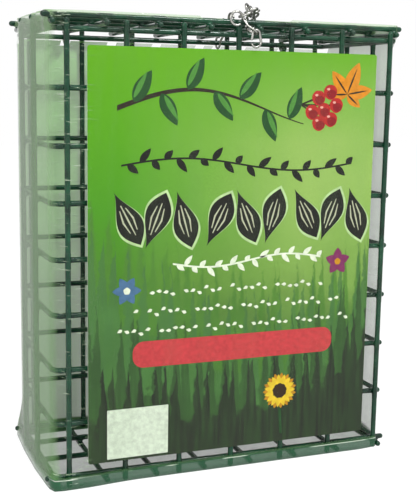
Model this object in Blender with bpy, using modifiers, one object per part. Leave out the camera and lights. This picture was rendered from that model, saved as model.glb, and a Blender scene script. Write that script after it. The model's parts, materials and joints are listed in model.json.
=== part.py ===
"""A hanging wire feeder for cakes of suet, with its paper card, its film sleeve and its chain.

Metres, +Z up. The front, with the card, faces -Y. The origin is under the middle of the feeder,
on the surface that it stands on. Every wire is its own object, because the cage is wires welded
where they cross; a small clearance stands for each weld.
"""

import math

import bmesh
import bpy
from mathutils import Matrix, Vector

MM = 0.001

# Wire and fits
WIRE_DIAMETER = 2.65 * MM  # steel wire with its vinyl coat
CLEARANCE = 0.3 * MM  # between any two solids that touch on the real feeder

# Cage, measured between wire centres
CAGE_WIDTH = 177.8 * MM
CAGE_DEPTH = 76.2 * MM
CORNER_RADIUS = 5.0 * MM
HOOP_COUNT = 9
UPRIGHT_COUNT = 7
UPRIGHT_END_GAP = 4.9 * MM  # from the last upright to the side of the cage, before the shift
UPRIGHT_SHIFT = 1.7 * MM  # the mesh was cut with its uprights a little to the right of the middle
SIDE_UPRIGHT_COUNT = 2
SIDE_UPRIGHT_END_GAP = 24.1 * MM  # from there to the front or back of the cage
UPRIGHT_OVERRUN_TOP = 2.4 * MM  # wire past the centre of the top hoop
UPRIGHT_OVERRUN_BOTTOM = 2.6 * MM

# Lid and floor panels, whose outer wires lie over the sides of the cage
PANEL_ROD_COUNT = 8
LID_CROSS_COUNT = 4
FLOOR_CROSS_COUNT = 2
PANEL_OVERRUN = 2.7 * MM  # rod past the wire that it ends on
CROSS_OVERRUN = 1.5 * MM  # lid cross wire past the outer rods
CURLED_RODS = (1, 6)  # the lid rods, counted from the left, that curl round the hinge wire
CURL_SWEEP = math.radians(235)
CURL_STEPS = 12

# Card and film
CARD_WIDTH = 150.3 * MM
CARD_HEIGHT = 198.0 * MM
CARD_THICKNESS = 0.5 * MM
CARD_RISE = 6.6 * MM  # its lower edge above the centre of the lowest hoop
CARD_HEAD_GAP = 7.4 * MM  # its upper edge below the centre of the top hoop
FILM_THICKNESS = 0.3 * MM
FILM_CORNER_RADIUS = 3.0 * MM
FILM_FOOT_GAP = 0.5 * MM  # the film stops this far above the ground
FILM_FRONT_DROP = 7.2 * MM  # its front edge below the centre of the top hoop
FILM_BACK_DROP = 4.2 * MM
FILM_SIDE_RISE = 5.0 * MM  # its side edges above that centre
FILM_SLOPE_RUN = 9.0 * MM

# Chain
LINK_WIRE = 1.2 * MM
RING_RADIUS = 3.15 * MM  # of each of a link's two rings, to the middle of the wire
RING_SPACING = 9.2 * MM  # between the middles of a link's two rings
CHAIN_ROD_GAP = 10.3 * MM  # the chain's first ring to the right of the rod beside it
CHAIN_SLACK = 0.2 * MM  # the first ring's middle above the hinge wire's
RING_GAP_ANGLE = math.radians(14)  # where the wire's end stops short of the waist
RING_EXIT_ANGLE = math.radians(45)  # where the wire leaves the ring for the waist
RING_STEPS = 12
WAIST_STEPS = 4
WAIST_PULL = 3.4 * MM
# How the chain lies, in degrees: each link's dip from the one before, and the turn after it
LINK_DIPS = (-40, 31, 25, -40, 22, -9, 14, 120)
LINK_TURNS = (-12, 12, 9, -35, -6, -10, -55)

# Clip at the chain's end
CLIP_WIRE = 1.3 * MM
CLIP_TOP_RADIUS = 1.7 * MM
CLIP_FOOT_RADIUS = 2.5 * MM
CLIP_HEADROOM = 1.9 * MM  # its top wire above the ring that it hangs on
CLIP_DROP = 6.15 * MM  # its lowest wire below that ring
CLIP_HANG_DEGREES = -56
CLIP_GAP_ANGLE = math.radians(38)
CLIP_ARC_STEPS = 8

# Wire section
WIRE_SECTION_STEPS = 2  # bevel resolution, which gives 8 sides
LINK_SECTION_STEPS = 1  # 6 sides
FLAT_DOWN = math.radians(22.5)  # turns the 8-sided section so that a flat faces down
CORNER_STEPS = 5
# Rounded vinyl at a cut end: how far along, and how thick, as shares of the wire's radius
TIP_SHARES = ((0.0, 0.45), (0.35, 0.85), (1.0, 1.0))

# Pitches, heights and depths that follow from the sizes above. The card fits the cage's height,
# and every run of wires fills its side of the cage.
HOOP_PITCH = (CARD_RISE + CARD_HEIGHT + CARD_HEAD_GAP) / (HOOP_COUNT - 1)
UPRIGHT_PITCH = (CAGE_WIDTH - 2 * UPRIGHT_END_GAP) / (UPRIGHT_COUNT - 1)
SIDE_UPRIGHT_PITCH = (CAGE_DEPTH - 2 * SIDE_UPRIGHT_END_GAP) / (SIDE_UPRIGHT_COUNT - 1)
ROD_PITCH = CAGE_WIDTH / (PANEL_ROD_COUNT - 1)
CROSS_PITCH = CAGE_DEPTH / (LID_CROSS_COUNT - 1)
CHAIN_START_X = ROD_PITCH / 2 + CHAIN_ROD_GAP
WIRE_RADIUS = WIRE_DIAMETER / 2
WIRE_PITCH = WIRE_DIAMETER + CLEARANCE  # from one wire's centre to the next one's that lies on it
FLOOR_ROD_Z = WIRE_RADIUS * math.cos(FLAT_DOWN)
FIRST_HOOP_Z = FLOOR_ROD_Z + WIRE_PITCH
TOP_HOOP_Z = FIRST_HOOP_Z + (HOOP_COUNT - 1) * HOOP_PITCH
UPRIGHT_FACE = CAGE_DEPTH / 2 + WIRE_PITCH + WIRE_RADIUS  # outside of the front and back uprights
SIDE_FACE = CAGE_WIDTH / 2 + WIRE_PITCH + WIRE_RADIUS
CARD_BACK = UPRIGHT_FACE + CLEARANCE
CARD_FACE = CARD_BACK + CARD_THICKNESS
CARD_TOP = CARD_RISE + CARD_HEIGHT
FILM_FRONT = CARD_FACE + CLEARANCE
FILM_BACK = UPRIGHT_FACE + CLEARANCE
FILM_SIDE = SIDE_FACE + CLEARANCE


def clear_scene():
    for old in list(bpy.data.objects):
        bpy.data.objects.remove(old, do_unlink=True)


def new_collection(name):
    made = bpy.data.collections.new(name)
    bpy.context.scene.collection.children.link(made)
    return made


def make_material(name, colour, roughness, metallic=0.0, alpha=1.0):
    made = bpy.data.materials.new(name)
    made.use_nodes = True
    shader = made.node_tree.nodes["Principled BSDF"]
    shader.inputs["Base Color"].default_value = (*colour, 1.0)
    shader.inputs["Roughness"].default_value = roughness
    shader.inputs["Metallic"].default_value = metallic
    shader.inputs["Alpha"].default_value = alpha
    return made


def make_empty(name, collection, place):
    made = bpy.data.objects.new(name, None)
    made.location = place
    collection.objects.link(made)
    return made


def add_object(name, data, collection, parent, place=(0.0, 0.0, 0.0)):
    made = bpy.data.objects.new(name, data)
    collection.objects.link(made)
    made.parent = parent
    made.location = place
    return made


def wire_curve(name, points, diameter, sides, material, closed=False, tilt=0.0):
    """A wire through the points, as a curve with thickness. An open one has rounded ends."""
    radius = diameter / 2
    stops = [(Vector(point), 1.0) for point in points]
    if not closed:
        stops = rounded_ends(stops, radius)
    curve = bpy.data.curves.new(name, "CURVE")
    curve.dimensions = "3D"
    curve.bevel_depth = radius
    curve.bevel_resolution = sides
    curve.use_fill_caps = not closed
    spline = curve.splines.new("POLY")
    spline.points.add(len(stops) - 1)
    for made, (place, share) in zip(spline.points, stops):
        made.co = (*place, 1.0)
        made.radius = share
        made.tilt = tilt
    spline.use_cyclic_u = closed
    spline.use_smooth = True
    curve.materials.append(material)
    return curve


def rounded_ends(stops, radius):
    """The same wire with its last radius at each end drawn in to a round tip."""
    made = list(stops)
    for end, inner in ((0, 1), (-1, -2)):
        tip = made[end][0]
        along = (made[inner][0] - tip).normalized()
        ring = [(tip + along * radius * reach, share) for reach, share in TIP_SHARES]
        made = ring + made[1:] if end == 0 else made[:-1] + ring[::-1]
    return made


def arc(middle, radius, first, last, steps, across, up):
    """Points on an arc in the plane of two unit vectors, both ends included."""
    made = []
    for step in range(steps + 1):
        angle = first + (last - first) * step / steps
        made.append(middle + (across * math.cos(angle) + up * math.sin(angle)) * radius)
    return made


def rounded_rectangle(width, depth, radius, steps):
    """Corners of a level rectangle with rounded corners, anticlockwise from the right side."""
    x_axis, y_axis = Vector((1, 0, 0)), Vector((0, 1, 0))
    made = []
    for quarter, (side, end) in enumerate(((1, 1), (-1, 1), (-1, -1), (1, -1))):
        middle = Vector((side * (width / 2 - radius), end * (depth / 2 - radius), 0))
        first = quarter * math.pi / 2
        made += arc(middle, radius, first, first + math.pi / 2, steps, x_axis, y_axis)
    return made


def spread(count, pitch):
    """Places of evenly spaced wires, with their middle at zero."""
    return [(index - (count - 1) / 2) * pitch for index in range(count)]


def build_hoops(collection, parent, vinyl):
    """The level wires, each bent round all four sides into a ring."""
    outline = rounded_rectangle(CAGE_WIDTH, CAGE_DEPTH, CORNER_RADIUS, CORNER_STEPS)
    hoop = wire_curve("hoop_wire", outline, WIRE_DIAMETER, WIRE_SECTION_STEPS, vinyl, True, FLAT_DOWN)
    for index in range(HOOP_COUNT):
        height = FIRST_HOOP_Z + index * HOOP_PITCH
        add_object(f"hoop_{index + 1}", hoop, collection, parent, (0, 0, height))


def build_uprights(collection, parent, vinyl):
    """The upright wires, welded to the outside of the hoops on all four sides."""
    low = FIRST_HOOP_Z - UPRIGHT_OVERRUN_BOTTOM
    high = TOP_HOOP_Z + UPRIGHT_OVERRUN_TOP
    ends = (Vector((0, 0, low)), Vector((0, 0, high)))
    upright = wire_curve("upright_wire", ends, WIRE_DIAMETER, WIRE_SECTION_STEPS, vinyl, tilt=FLAT_DOWN)
    out_y = CAGE_DEPTH / 2 + WIRE_PITCH
    out_x = CAGE_WIDTH / 2 + WIRE_PITCH
    for index, x in enumerate(spread(UPRIGHT_COUNT, UPRIGHT_PITCH)):
        for side, y in (("front", -out_y), ("back", out_y)):
            name = f"{side}_upright_{index + 1}"
            add_object(name, upright, collection, parent, (x + UPRIGHT_SHIFT, y, 0))
    for index, y in enumerate(spread(SIDE_UPRIGHT_COUNT, SIDE_UPRIGHT_PITCH)):
        for side, x in (("left", -out_x), ("right", out_x)):
            add_object(f"{side}_upright_{index + 1}", upright, collection, parent, (x, y, 0))


def build_floor(collection, parent, vinyl):
    """Rods from front to back under the lowest hoop, and two wires across on top of them."""
    reach = CAGE_DEPTH / 2 + PANEL_OVERRUN
    ends = (Vector((0, -reach, 0)), Vector((0, reach, 0)))
    rod = wire_curve("floor_rod_wire", ends, WIRE_DIAMETER, WIRE_SECTION_STEPS, vinyl, tilt=FLAT_DOWN)
    for index, x in enumerate(spread(PANEL_ROD_COUNT, ROD_PITCH)):
        add_object(f"floor_rod_{index + 1}", rod, collection, parent, (x, 0, FLOOR_ROD_Z))
    reach = CAGE_WIDTH / 2 - WIRE_DIAMETER - CLEARANCE
    ends = (Vector((-reach, 0, 0)), Vector((reach, 0, 0)))
    cross = wire_curve("floor_cross_wire", ends, WIRE_DIAMETER, WIRE_SECTION_STEPS, vinyl, tilt=FLAT_DOWN)
    for index, y in enumerate(spread(FLOOR_CROSS_COUNT, CROSS_PITCH)):
        name = f"floor_cross_wire_{index + 1}"
        add_object(name, cross, collection, parent, (0, y, FIRST_HOOP_Z))


def build_lid(collection, hinge, vinyl):
    """A panel that lies on the top hoop. Two of its rods run on and curl round the hoop's back
    run, which is the hinge. All its points are measured from the hinge's axis."""
    front = -CAGE_DEPTH - PANEL_OVERRUN
    across, up = Vector((0, 1, 0)), Vector((0, 0, 1))
    curl = arc(
        Vector((0, 0, 0)), WIRE_PITCH, math.pi / 2, math.pi / 2 - CURL_SWEEP, CURL_STEPS, across, up
    )
    plain_ends = (Vector((0, front, WIRE_PITCH)), Vector((0, PANEL_OVERRUN, WIRE_PITCH)))
    plain = wire_curve("lid_rod_wire", plain_ends, WIRE_DIAMETER, WIRE_SECTION_STEPS, vinyl, tilt=FLAT_DOWN)
    curled_path = [Vector((0, front, WIRE_PITCH)), *curl]
    curled = wire_curve("lid_curled_rod_wire", curled_path, WIRE_DIAMETER, WIRE_SECTION_STEPS, vinyl)
    for index, x in enumerate(spread(PANEL_ROD_COUNT, ROD_PITCH)):
        rod = curled if index in CURLED_RODS else plain
        add_object(f"lid_rod_{index + 1}", rod, collection, hinge, (x, 0, 0))
    reach = CAGE_WIDTH / 2 + CROSS_OVERRUN
    ends = (Vector((-reach, 0, 0)), Vector((reach, 0, 0)))
    cross = wire_curve("lid_cross_wire", ends, WIRE_DIAMETER, WIRE_SECTION_STEPS, vinyl, tilt=FLAT_DOWN)
    for index in range(LID_CROSS_COUNT):
        place = (0, index * CROSS_PITCH - CAGE_DEPTH, 2 * WIRE_PITCH)
        add_object(f"lid_cross_wire_{index + 1}", cross, collection, hinge, place)


def link_path():
    """One wire bent into two rings square to each other, in the link's own axes: the first ring
    stands in XZ round the origin, and the second lies in XY, one spacing along X."""
    x_axis, y_axis, z_axis = Vector((1, 0, 0)), Vector((0, 1, 0)), Vector((0, 0, 1))
    spacing = x_axis * RING_SPACING
    exit_angle, gap_angle = RING_EXIT_ANGLE, RING_GAP_ANGLE
    full = 2 * math.pi
    first = arc(
        Vector((0, 0, 0)), RING_RADIUS, gap_angle, full - exit_angle, RING_STEPS, x_axis, z_axis
    )
    second = arc(spacing, RING_RADIUS, exit_angle, full - gap_angle, RING_STEPS, -x_axis, y_axis)
    pull = WAIST_PULL
    leave = (x_axis * math.sin(exit_angle) + z_axis * math.cos(exit_angle)) * pull
    arrive = (x_axis * math.sin(exit_angle) + y_axis * math.cos(exit_angle)) * pull
    waist = []
    for step in range(1, WAIST_STEPS):
        t = step / WAIST_STEPS
        waist.append(
            first[-1] * (2 * t**3 - 3 * t**2 + 1)
            + leave * (t**3 - 2 * t**2 + t)
            + second[0] * (3 * t**2 - 2 * t**3)
            + arrive * (t**3 - t**2)
        )
    return first + waist + second


def clip_path():
    """A pear-shaped loop with a gap in one leg, hanging down X from the ring at the origin."""
    down, across = Vector((1, 0, 0)), Vector((0, 0, 1))
    top = down * (CLIP_TOP_RADIUS - CLIP_HEADROOM)
    foot = down * (CLIP_DROP - CLIP_FOOT_RADIUS)
    lean = math.asin((CLIP_FOOT_RADIUS - CLIP_TOP_RADIUS) / (foot - top).length)
    side = math.pi / 2 + lean
    over = arc(top, CLIP_TOP_RADIUS, side, 2 * math.pi - side, CLIP_ARC_STEPS, down, across)
    under = arc(
        foot, CLIP_FOOT_RADIUS, -side, side - CLIP_GAP_ANGLE, CLIP_ARC_STEPS, down, across
    )
    gate = foot + (down * math.cos(side) + across * math.sin(side)) * CLIP_FOOT_RADIUS
    return [gate, *over, *under]


def chain_steps():
    """How each link lies, measured from the one before it and for the first from the hinge."""
    seat = Matrix.Translation((2 * RING_RADIUS - LINK_WIRE - CLEARANCE, 0, 0))
    along = Matrix.Translation((RING_SPACING, 0, 0))
    start = Matrix.Translation((CHAIN_START_X, 0, CHAIN_SLACK))
    made = [start @ Matrix.Rotation(-math.pi / 2, 4, "Z")]
    made += [along @ Matrix.Rotation(math.radians(turn), 4, "Z") @ seat for turn in LINK_TURNS]
    dips = [Matrix.Rotation(math.radians(dip), 4, "Y") for dip in LINK_DIPS]
    return [step @ dip for step, dip in zip(made, dips)]


def chain_reach():
    """How far in front of the hinge's axis the chain's last ring hangs."""
    place = Matrix.Identity(4)
    for step in chain_steps():
        place = place @ step
    return RING_RADIUS + LINK_WIRE / 2 - (place @ Vector((RING_SPACING, 0, 0))).y


def build_chain(collection, hinge, zinc):
    """Links that each hang in the one before, laid over the lid to the front, and the clip."""
    link = wire_curve("chain_link_wire", link_path(), LINK_WIRE, LINK_SECTION_STEPS, zinc)
    parent = hinge
    for index, step in enumerate(chain_steps()):
        made = add_object(f"chain_link_{index + 1}", link, collection, parent)
        made.matrix_local = step
        parent = made
    clip = wire_curve("chain_clip_wire", clip_path(), CLIP_WIRE, LINK_SECTION_STEPS, zinc)
    made = add_object("chain_clip", clip, collection, parent)
    hang = Matrix.Rotation(math.radians(CLIP_HANG_DEGREES), 4, "Y")
    made.matrix_local = Matrix.Translation((RING_SPACING + RING_RADIUS, 0, 0)) @ hang


def build_card(collection, parent, board):
    """A printed card that stands against the front uprights."""
    mesh = bpy.data.meshes.new("card_sheet")
    shape = bmesh.new()
    size = Matrix.Diagonal((CARD_WIDTH, CARD_THICKNESS, CARD_HEIGHT, 1.0))
    bmesh.ops.create_cube(shape, size=1.0, matrix=size)
    shape.to_mesh(mesh)
    shape.free()
    mesh.materials.append(board)
    height = FIRST_HOOP_Z + CARD_RISE + CARD_HEIGHT / 2
    place = (UPRIGHT_SHIFT, -CARD_BACK - CARD_THICKNESS / 2, height)
    add_object("printed_card", mesh, collection, parent, place)


def film_outline():
    """The film's inner face seen from above, anticlockwise, each point with its top height."""
    depth = FILM_FRONT + FILM_BACK
    middle = (FILM_BACK - FILM_FRONT) / 2
    front_top = TOP_HOOP_Z - FILM_FRONT_DROP
    back_top = TOP_HOOP_Z - FILM_BACK_DROP
    side_top = TOP_HOOP_Z + FILM_SIDE_RISE
    made = []
    corners = rounded_rectangle(2 * FILM_SIDE, depth, FILM_CORNER_RADIUS, CORNER_STEPS)
    quarter = CORNER_STEPS + 1
    for corner in range(4):
        points = corners[corner * quarter : (corner + 1) * quarter]
        top = back_top if corner < 2 else front_top
        run = -FILM_SLOPE_RUN if corner < 2 else FILM_SLOPE_RUN
        bent = [(point.x, point.y + middle, top) for point in points]
        side = points[0] if corner in (0, 2) else points[-1]
        slope = (side.x, side.y + middle + run, side_top)
        made += [slope, *bent] if corner in (0, 2) else [*bent, slope]
    return made


def build_film(collection, parent, clear):
    """A sleeve of clear film round the four sides, cut away at the front and the back so that
    the lid and the chain are free."""
    mesh = bpy.data.meshes.new("film_sleeve")
    shape = bmesh.new()
    outline = film_outline()
    low = [shape.verts.new((x, y, FILM_FOOT_GAP)) for x, y, _ in outline]
    high = [shape.verts.new((x, y, top)) for x, y, top in outline]
    count = len(outline)
    for index in range(count):
        after = (index + 1) % count
        shape.faces.new((low[index], low[after], high[after], high[index]))
    shape.to_mesh(mesh)
    shape.free()
    mesh.materials.append(clear)
    sleeve = add_object("film_sleeve", mesh, collection, parent)
    wall = sleeve.modifiers.new("wall", "SOLIDIFY")
    wall.thickness = FILM_THICKNESS
    wall.offset = 1.0
    wall.use_even_offset = True


def build_feeder():
    clear_scene()
    collection = new_collection("suet_feeder")
    vinyl = make_material("green_vinyl_coat", (0.012, 0.075, 0.04), 0.32)
    zinc = make_material("zinc_plated_steel", (0.55, 0.55, 0.53), 0.3, metallic=1.0)
    board = make_material("printed_card_stock", (0.16, 0.42, 0.03), 0.45)
    clear = make_material("clear_film", (0.75, 0.85, 0.75), 0.12, alpha=0.25)
    # The chain's end hangs further forward than the film, so the cage sits behind the origin
    cage_y = (chain_reach() - CAGE_DEPTH / 2 - FILM_BACK - FILM_THICKNESS) / 2
    cage = make_empty("cage_frame", collection, (0, cage_y, 0))
    hinge = make_empty("lid_hinge_axis", collection, (0, cage_y + CAGE_DEPTH / 2, TOP_HOOP_Z))
    build_hoops(collection, cage, vinyl)
    build_uprights(collection, cage, vinyl)
    build_floor(collection, cage, vinyl)
    build_lid(collection, hinge, vinyl)
    build_chain(collection, hinge, zinc)
    build_card(collection, cage, board)
    build_film(collection, cage, clear)


build_feeder()
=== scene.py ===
"""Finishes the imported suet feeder: coated wires and their welds, chain, card, film and stage."""

import json
import math

import bpy
import numpy as np
from mathutils import Matrix, Quaternion, Vector, noise


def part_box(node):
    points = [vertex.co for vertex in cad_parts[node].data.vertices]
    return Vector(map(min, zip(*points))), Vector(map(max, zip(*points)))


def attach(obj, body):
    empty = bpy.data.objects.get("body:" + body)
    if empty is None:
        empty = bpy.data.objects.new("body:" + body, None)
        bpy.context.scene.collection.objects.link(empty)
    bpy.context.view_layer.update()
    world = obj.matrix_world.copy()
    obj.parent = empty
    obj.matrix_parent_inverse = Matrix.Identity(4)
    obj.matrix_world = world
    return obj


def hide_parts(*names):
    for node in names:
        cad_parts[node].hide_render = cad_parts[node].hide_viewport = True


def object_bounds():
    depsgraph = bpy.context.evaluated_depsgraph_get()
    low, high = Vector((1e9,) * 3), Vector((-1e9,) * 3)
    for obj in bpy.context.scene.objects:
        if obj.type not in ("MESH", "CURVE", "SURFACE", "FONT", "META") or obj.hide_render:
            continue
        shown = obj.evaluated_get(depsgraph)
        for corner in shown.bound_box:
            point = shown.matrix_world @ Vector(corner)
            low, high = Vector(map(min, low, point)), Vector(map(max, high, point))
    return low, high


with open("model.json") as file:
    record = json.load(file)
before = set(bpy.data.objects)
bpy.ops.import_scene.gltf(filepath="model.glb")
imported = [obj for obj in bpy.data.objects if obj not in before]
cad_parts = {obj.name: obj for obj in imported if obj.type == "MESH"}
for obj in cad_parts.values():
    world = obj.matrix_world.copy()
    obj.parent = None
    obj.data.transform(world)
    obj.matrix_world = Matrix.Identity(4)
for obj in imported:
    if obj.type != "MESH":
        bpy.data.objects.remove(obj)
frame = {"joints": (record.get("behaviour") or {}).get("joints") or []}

CAD_BOX = [list(corner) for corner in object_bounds()]
MM = 0.001
X_WAY, Y_WAY, Z_WAY = Vector((1, 0, 0)), Vector((0, 1, 0)), Vector((0, 0, 1))

bl_info = {
    "name": "Suet feeder finish",
    "version": (1, 0, 0),
    "blender": (4, 5, 0),
    "location": "3D View > Sidebar > Feeder",
    "description": "Coats, prints, wraps and lights a wire suet feeder",
    "category": "Object",
}


def linear(code):
    """A colour written as sRGB hex, as the linear values that a shader takes."""
    values = [int(code[index : index + 2], 16) / 255 for index in (0, 2, 4)]
    return tuple(
        value / 12.92 if value <= 0.04045 else ((value + 0.055) / 1.055) ** 2.4 for value in values
    )


def colour_property(name, description, code):
    return bpy.props.FloatVectorProperty(
        name=name,
        description=description,
        subtype="COLOR",
        size=3,
        min=0,
        max=1,
        default=linear(code),
    )


def length_property(name, description, value):
    return bpy.props.FloatProperty(
        name=name,
        description=description,
        subtype="DISTANCE",
        unit="LENGTH",
        default=value,
        precision=5,
    )


class SuetFeederSizes(bpy.types.PropertyGroup):
    wire_diameter: length_property("Wire", "Cage wire with its coat", 2.65 * MM)
    coat_wander: length_property("Coat wander", "How far the coat swells and thins", 0.045 * MM)
    weld_reach: length_property("Weld reach", "Half the length of a weld's pooled coat", 3.3 * MM)
    corner_radius: length_property("Corner bend", "Bend of a hoop's corners", 5.0 * MM)
    link_wire: length_property("Link wire", "Wire of the jack chain", 1.2 * MM)
    clip_wire: length_property("Clip wire", "Wire of the clip", 1.3 * MM)
    film_ripple: length_property("Film ripple", "How far the shrunk film ripples", 0.16 * MM)
    ink_step: length_property("Ink step", "How far each ink lies over the last", 0.02 * MM)


class SuetFeederColours(bpy.types.PropertyGroup):
    vinyl: colour_property("Vinyl", "Main green of the dipped coat", "0C4A30")
    vinyl_deep: colour_property("Deep vinyl", "Green where the coat is thick", "05261A")
    # Pale middle of the zinc's painted reflection; it is painted darker towards the wire's edges
    zinc: colour_property("Zinc", "Bright plated wire", "B4B4AE")
    film_haze: colour_property("Film haze", "Milky green of the film at its head", "A1C693")
    # The film's foot green is painted shade: the film is painted darker towards its foot
    film_foot: colour_property("Film foot", "Duller green of the film at its foot", "78AA66")
    film_back: colour_property("Film back", "Green of the film behind the cage", "A0DC88")
    sky: colour_property("Card sky", "Bright green at the card's head", "5DA210")
    mist: colour_property("Card mist", "Pale green in the card's middle", "98BA60")
    ground: colour_property("Card ground", "Charcoal green at the card's foot", "1F281A")
    band: colour_property("Card band", "Red of the bare band", "C53E42")


# Wires of each kind, as the solids are numbered
HOOP_COUNT = 9
UPRIGHT_COUNTS = {"front": 7, "back": 7, "left": 2, "right": 2}
FLOOR_ROD_COUNT, FLOOR_CROSS_COUNT = 8, 2
LID_ROD_COUNT, LID_CROSS_COUNT = 8, 4
CURLED_RODS = ("lid_rod_2", "lid_rod_7")
CURL = math.radians(235)

# Driving facts of the chain, as the solids have them: degrees that each link dips and turns
LINK_DIPS = (-40, 31, 25, -40, 22, -9, 14, 120)
LINK_TURNS = (-12, 12, 9, -35, -6, -10, -55)
RING_RADIUS = 3.15 * MM
RING_SPACING = 9.2 * MM
RING_SEAT = 4.8 * MM
CLIP_HANG = -56

# Steps along a wire, and how far the film's back edge stands below the hinge
WIRE_STEP = 5 * MM
FILM_BACK_DROP = 4.2 * MM

# Stands of tall grass on the card, far to near: their height as shares of the card's at six places
# from left to right, their colour, how soft their edge is and how rough
GRASSES = (
    ((0.52, 0.44, 0.37, 0.33, 0.37, 0.40), "4A7C2B", 0.05, 0.08),
    ((0.44, 0.36, 0.26, 0.24, 0.30, 0.37), "44713A", 0.025, 0.10),
    ((0.25, 0.22, 0.18, 0.17, 0.23, 0.33), "2F4E26", 0.014, 0.09),
    ((0.14, 0.13, 0.12, 0.13, 0.17, 0.24), "20251C", 0.014, 0.07),
)

INKS = {
    "ink_black": "14150F",
    "ink_bark": "2A2117",
    "ink_brown": "33220F",
    "ink_leaf_green": "1F4A22",
    "ink_leaf_light": "4E8A3A",
    "ink_pale_green": "B9D79A",
    "ink_cream": "B9BDA0",
    "ink_cream_white": "E6EFD6",
    "ink_panel_white": "D3E0CB",
    "ink_deep_red": "8A1C22",
    "ink_red": "B32A28",
    "ink_pink": "E9A79A",
    "ink_orange": "D98A22",
    "ink_gold": "C48A1A",
    "ink_yellow": "E8C62E",
    "ink_violet": "7E2F5C",
    "ink_blue": "4A6F93",
}

# What Blender calls the sockets of a Map Range node, and where a Mix node has its two colours
RANGE = ("Value", "From Min", "From Max", "To Min", "To Max")
FIRST, SECOND = 6, 7
COLOUR_MIX = {"out": 2, "data_type": "RGBA"}


def feed(tree, node, inputs):
    """Sets a node's sockets, each to a plain value or to what another node gives."""
    for name, value in inputs.items():
        if isinstance(value, bpy.types.NodeSocket):
            tree.links.new(value, node.inputs[name])
        else:
            node.inputs[name].default_value = value


def add(tree, kind, inputs=None, out=0, stops=(), **settings):
    """A shader node with its inputs, its colour stops (the outer two first) and its settings.
    Gives one of its outputs, or the node itself."""
    node = tree.nodes.new(f"ShaderNode{kind}")
    for name, value in settings.items():
        setattr(node, name, value)
    for index, (position, colour) in enumerate(stops):
        elements = node.color_ramp.elements
        element = elements[index] if index < 2 else elements.new(position)
        element.position = position
        element.color = (*colour, 1)
    feed(tree, node, inputs or {})
    return node if out is None else node.outputs[out]


def start_material(name):
    """An empty material with its shader, ready for its finish."""
    material = bpy.data.materials.new(name)
    material.use_nodes = True
    tree = material.node_tree
    return material, tree, tree.nodes["Principled BSDF"]


def dipped_vinyl():
    """PVC plastisol, dipped and cured. It is smooth and glossy with a slight orange peel, deeper
    green where it is thick, and dull where it has rubbed on its neighbours."""
    colours = bpy.context.scene.suet_feeder_colours
    material, tree, shader = start_material("dipped_green_pvc")
    where = add(tree, "TexCoord", out="Object")
    # Thick and thin coat change over about 14 mm
    patches = add(
        tree,
        "TexNoise",
        {"Vector": where, "Scale": 1 / (14 * MM), "Detail": 3, "Roughness": 0.6},
    )
    spread = add(tree, "MapRange", {"Value": patches, "From Min": 0.35, "From Max": 0.68})
    shades = {FIRST: (*colours.vinyl_deep, 1), SECOND: (*colours.vinyl, 1)}
    green = add(tree, "Mix", {"Factor": spread, **shades}, **COLOUR_MIX)
    # Rubbed patches about 5 mm across
    rub = add(
        tree,
        "TexNoise",
        {"Vector": where, "Scale": 1 / (5 * MM), "Detail": 4, "Roughness": 0.65},
    )
    gloss = add(tree, "MapRange", dict(zip(RANGE, (rub, 0.4, 0.75, 0.13, 0.34))))
    # Orange peel of 0.9 mm, drawn a little coarser than the real one so that it shows
    peel = add(tree, "TexNoise", {"Vector": where, "Scale": 1 / (0.9 * MM), "Detail": 2})
    bump = add(tree, "Bump", {"Strength": 0.35, "Distance": 0.12 * MM, "Height": peel})
    feed(tree, shader, {"Base Color": green, "Roughness": gloss, "Normal": bump})
    feed(tree, shader, {"IOR": 1.53, "Specular IOR Level": 0.28})
    feed(tree, shader, {"Coat Weight": 0.12, "Coat Roughness": 0.06})
    return material


def plated_zinc():
    """Steel wire, drawn and zinc plated bright. It mirrors softly: its colour is painted pale along
    its middle and dark towards its edges, a painted reflection of the room, with a faint spangle."""
    colours = bpy.context.scene.suet_feeder_colours
    material, tree, shader = start_material("bright_zinc_plated_steel")
    where = add(tree, "TexCoord", out="Object")
    # Spangles about 1.6 mm across
    spangle = add(tree, "TexNoise", {"Vector": where, "Scale": 1 / (1.6 * MM), "Detail": 3})
    # Painted reflection: the colour is painted darker towards the edges, where the wire turns from
    # the eye, mixed with the spangle
    edge = add(tree, "LayerWeight", {"Blend": 0.42}, out="Facing")
    dark = add(tree, "Math", {0: spangle, 1: 0.5, 2: edge}, operation="MULTIPLY_ADD")
    shade = add(tree, "MapRange", {"Value": dark, "From Min": 0.3, "From Max": 0.85})
    shades = {FIRST: (*colours.zinc, 1), SECOND: (*linear("23221D"), 1)}
    spangled_painted_reflection = add(tree, "Mix", {"Factor": shade, **shades}, **COLOUR_MIX)
    gloss = add(tree, "MapRange", dict(zip(RANGE, (spangle, 0.3, 0.7, 0.32, 0.18))))
    feed(tree, shader, {"Base Color": spangled_painted_reflection, "Roughness": gloss, "Metallic": 1.0})
    return material


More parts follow.
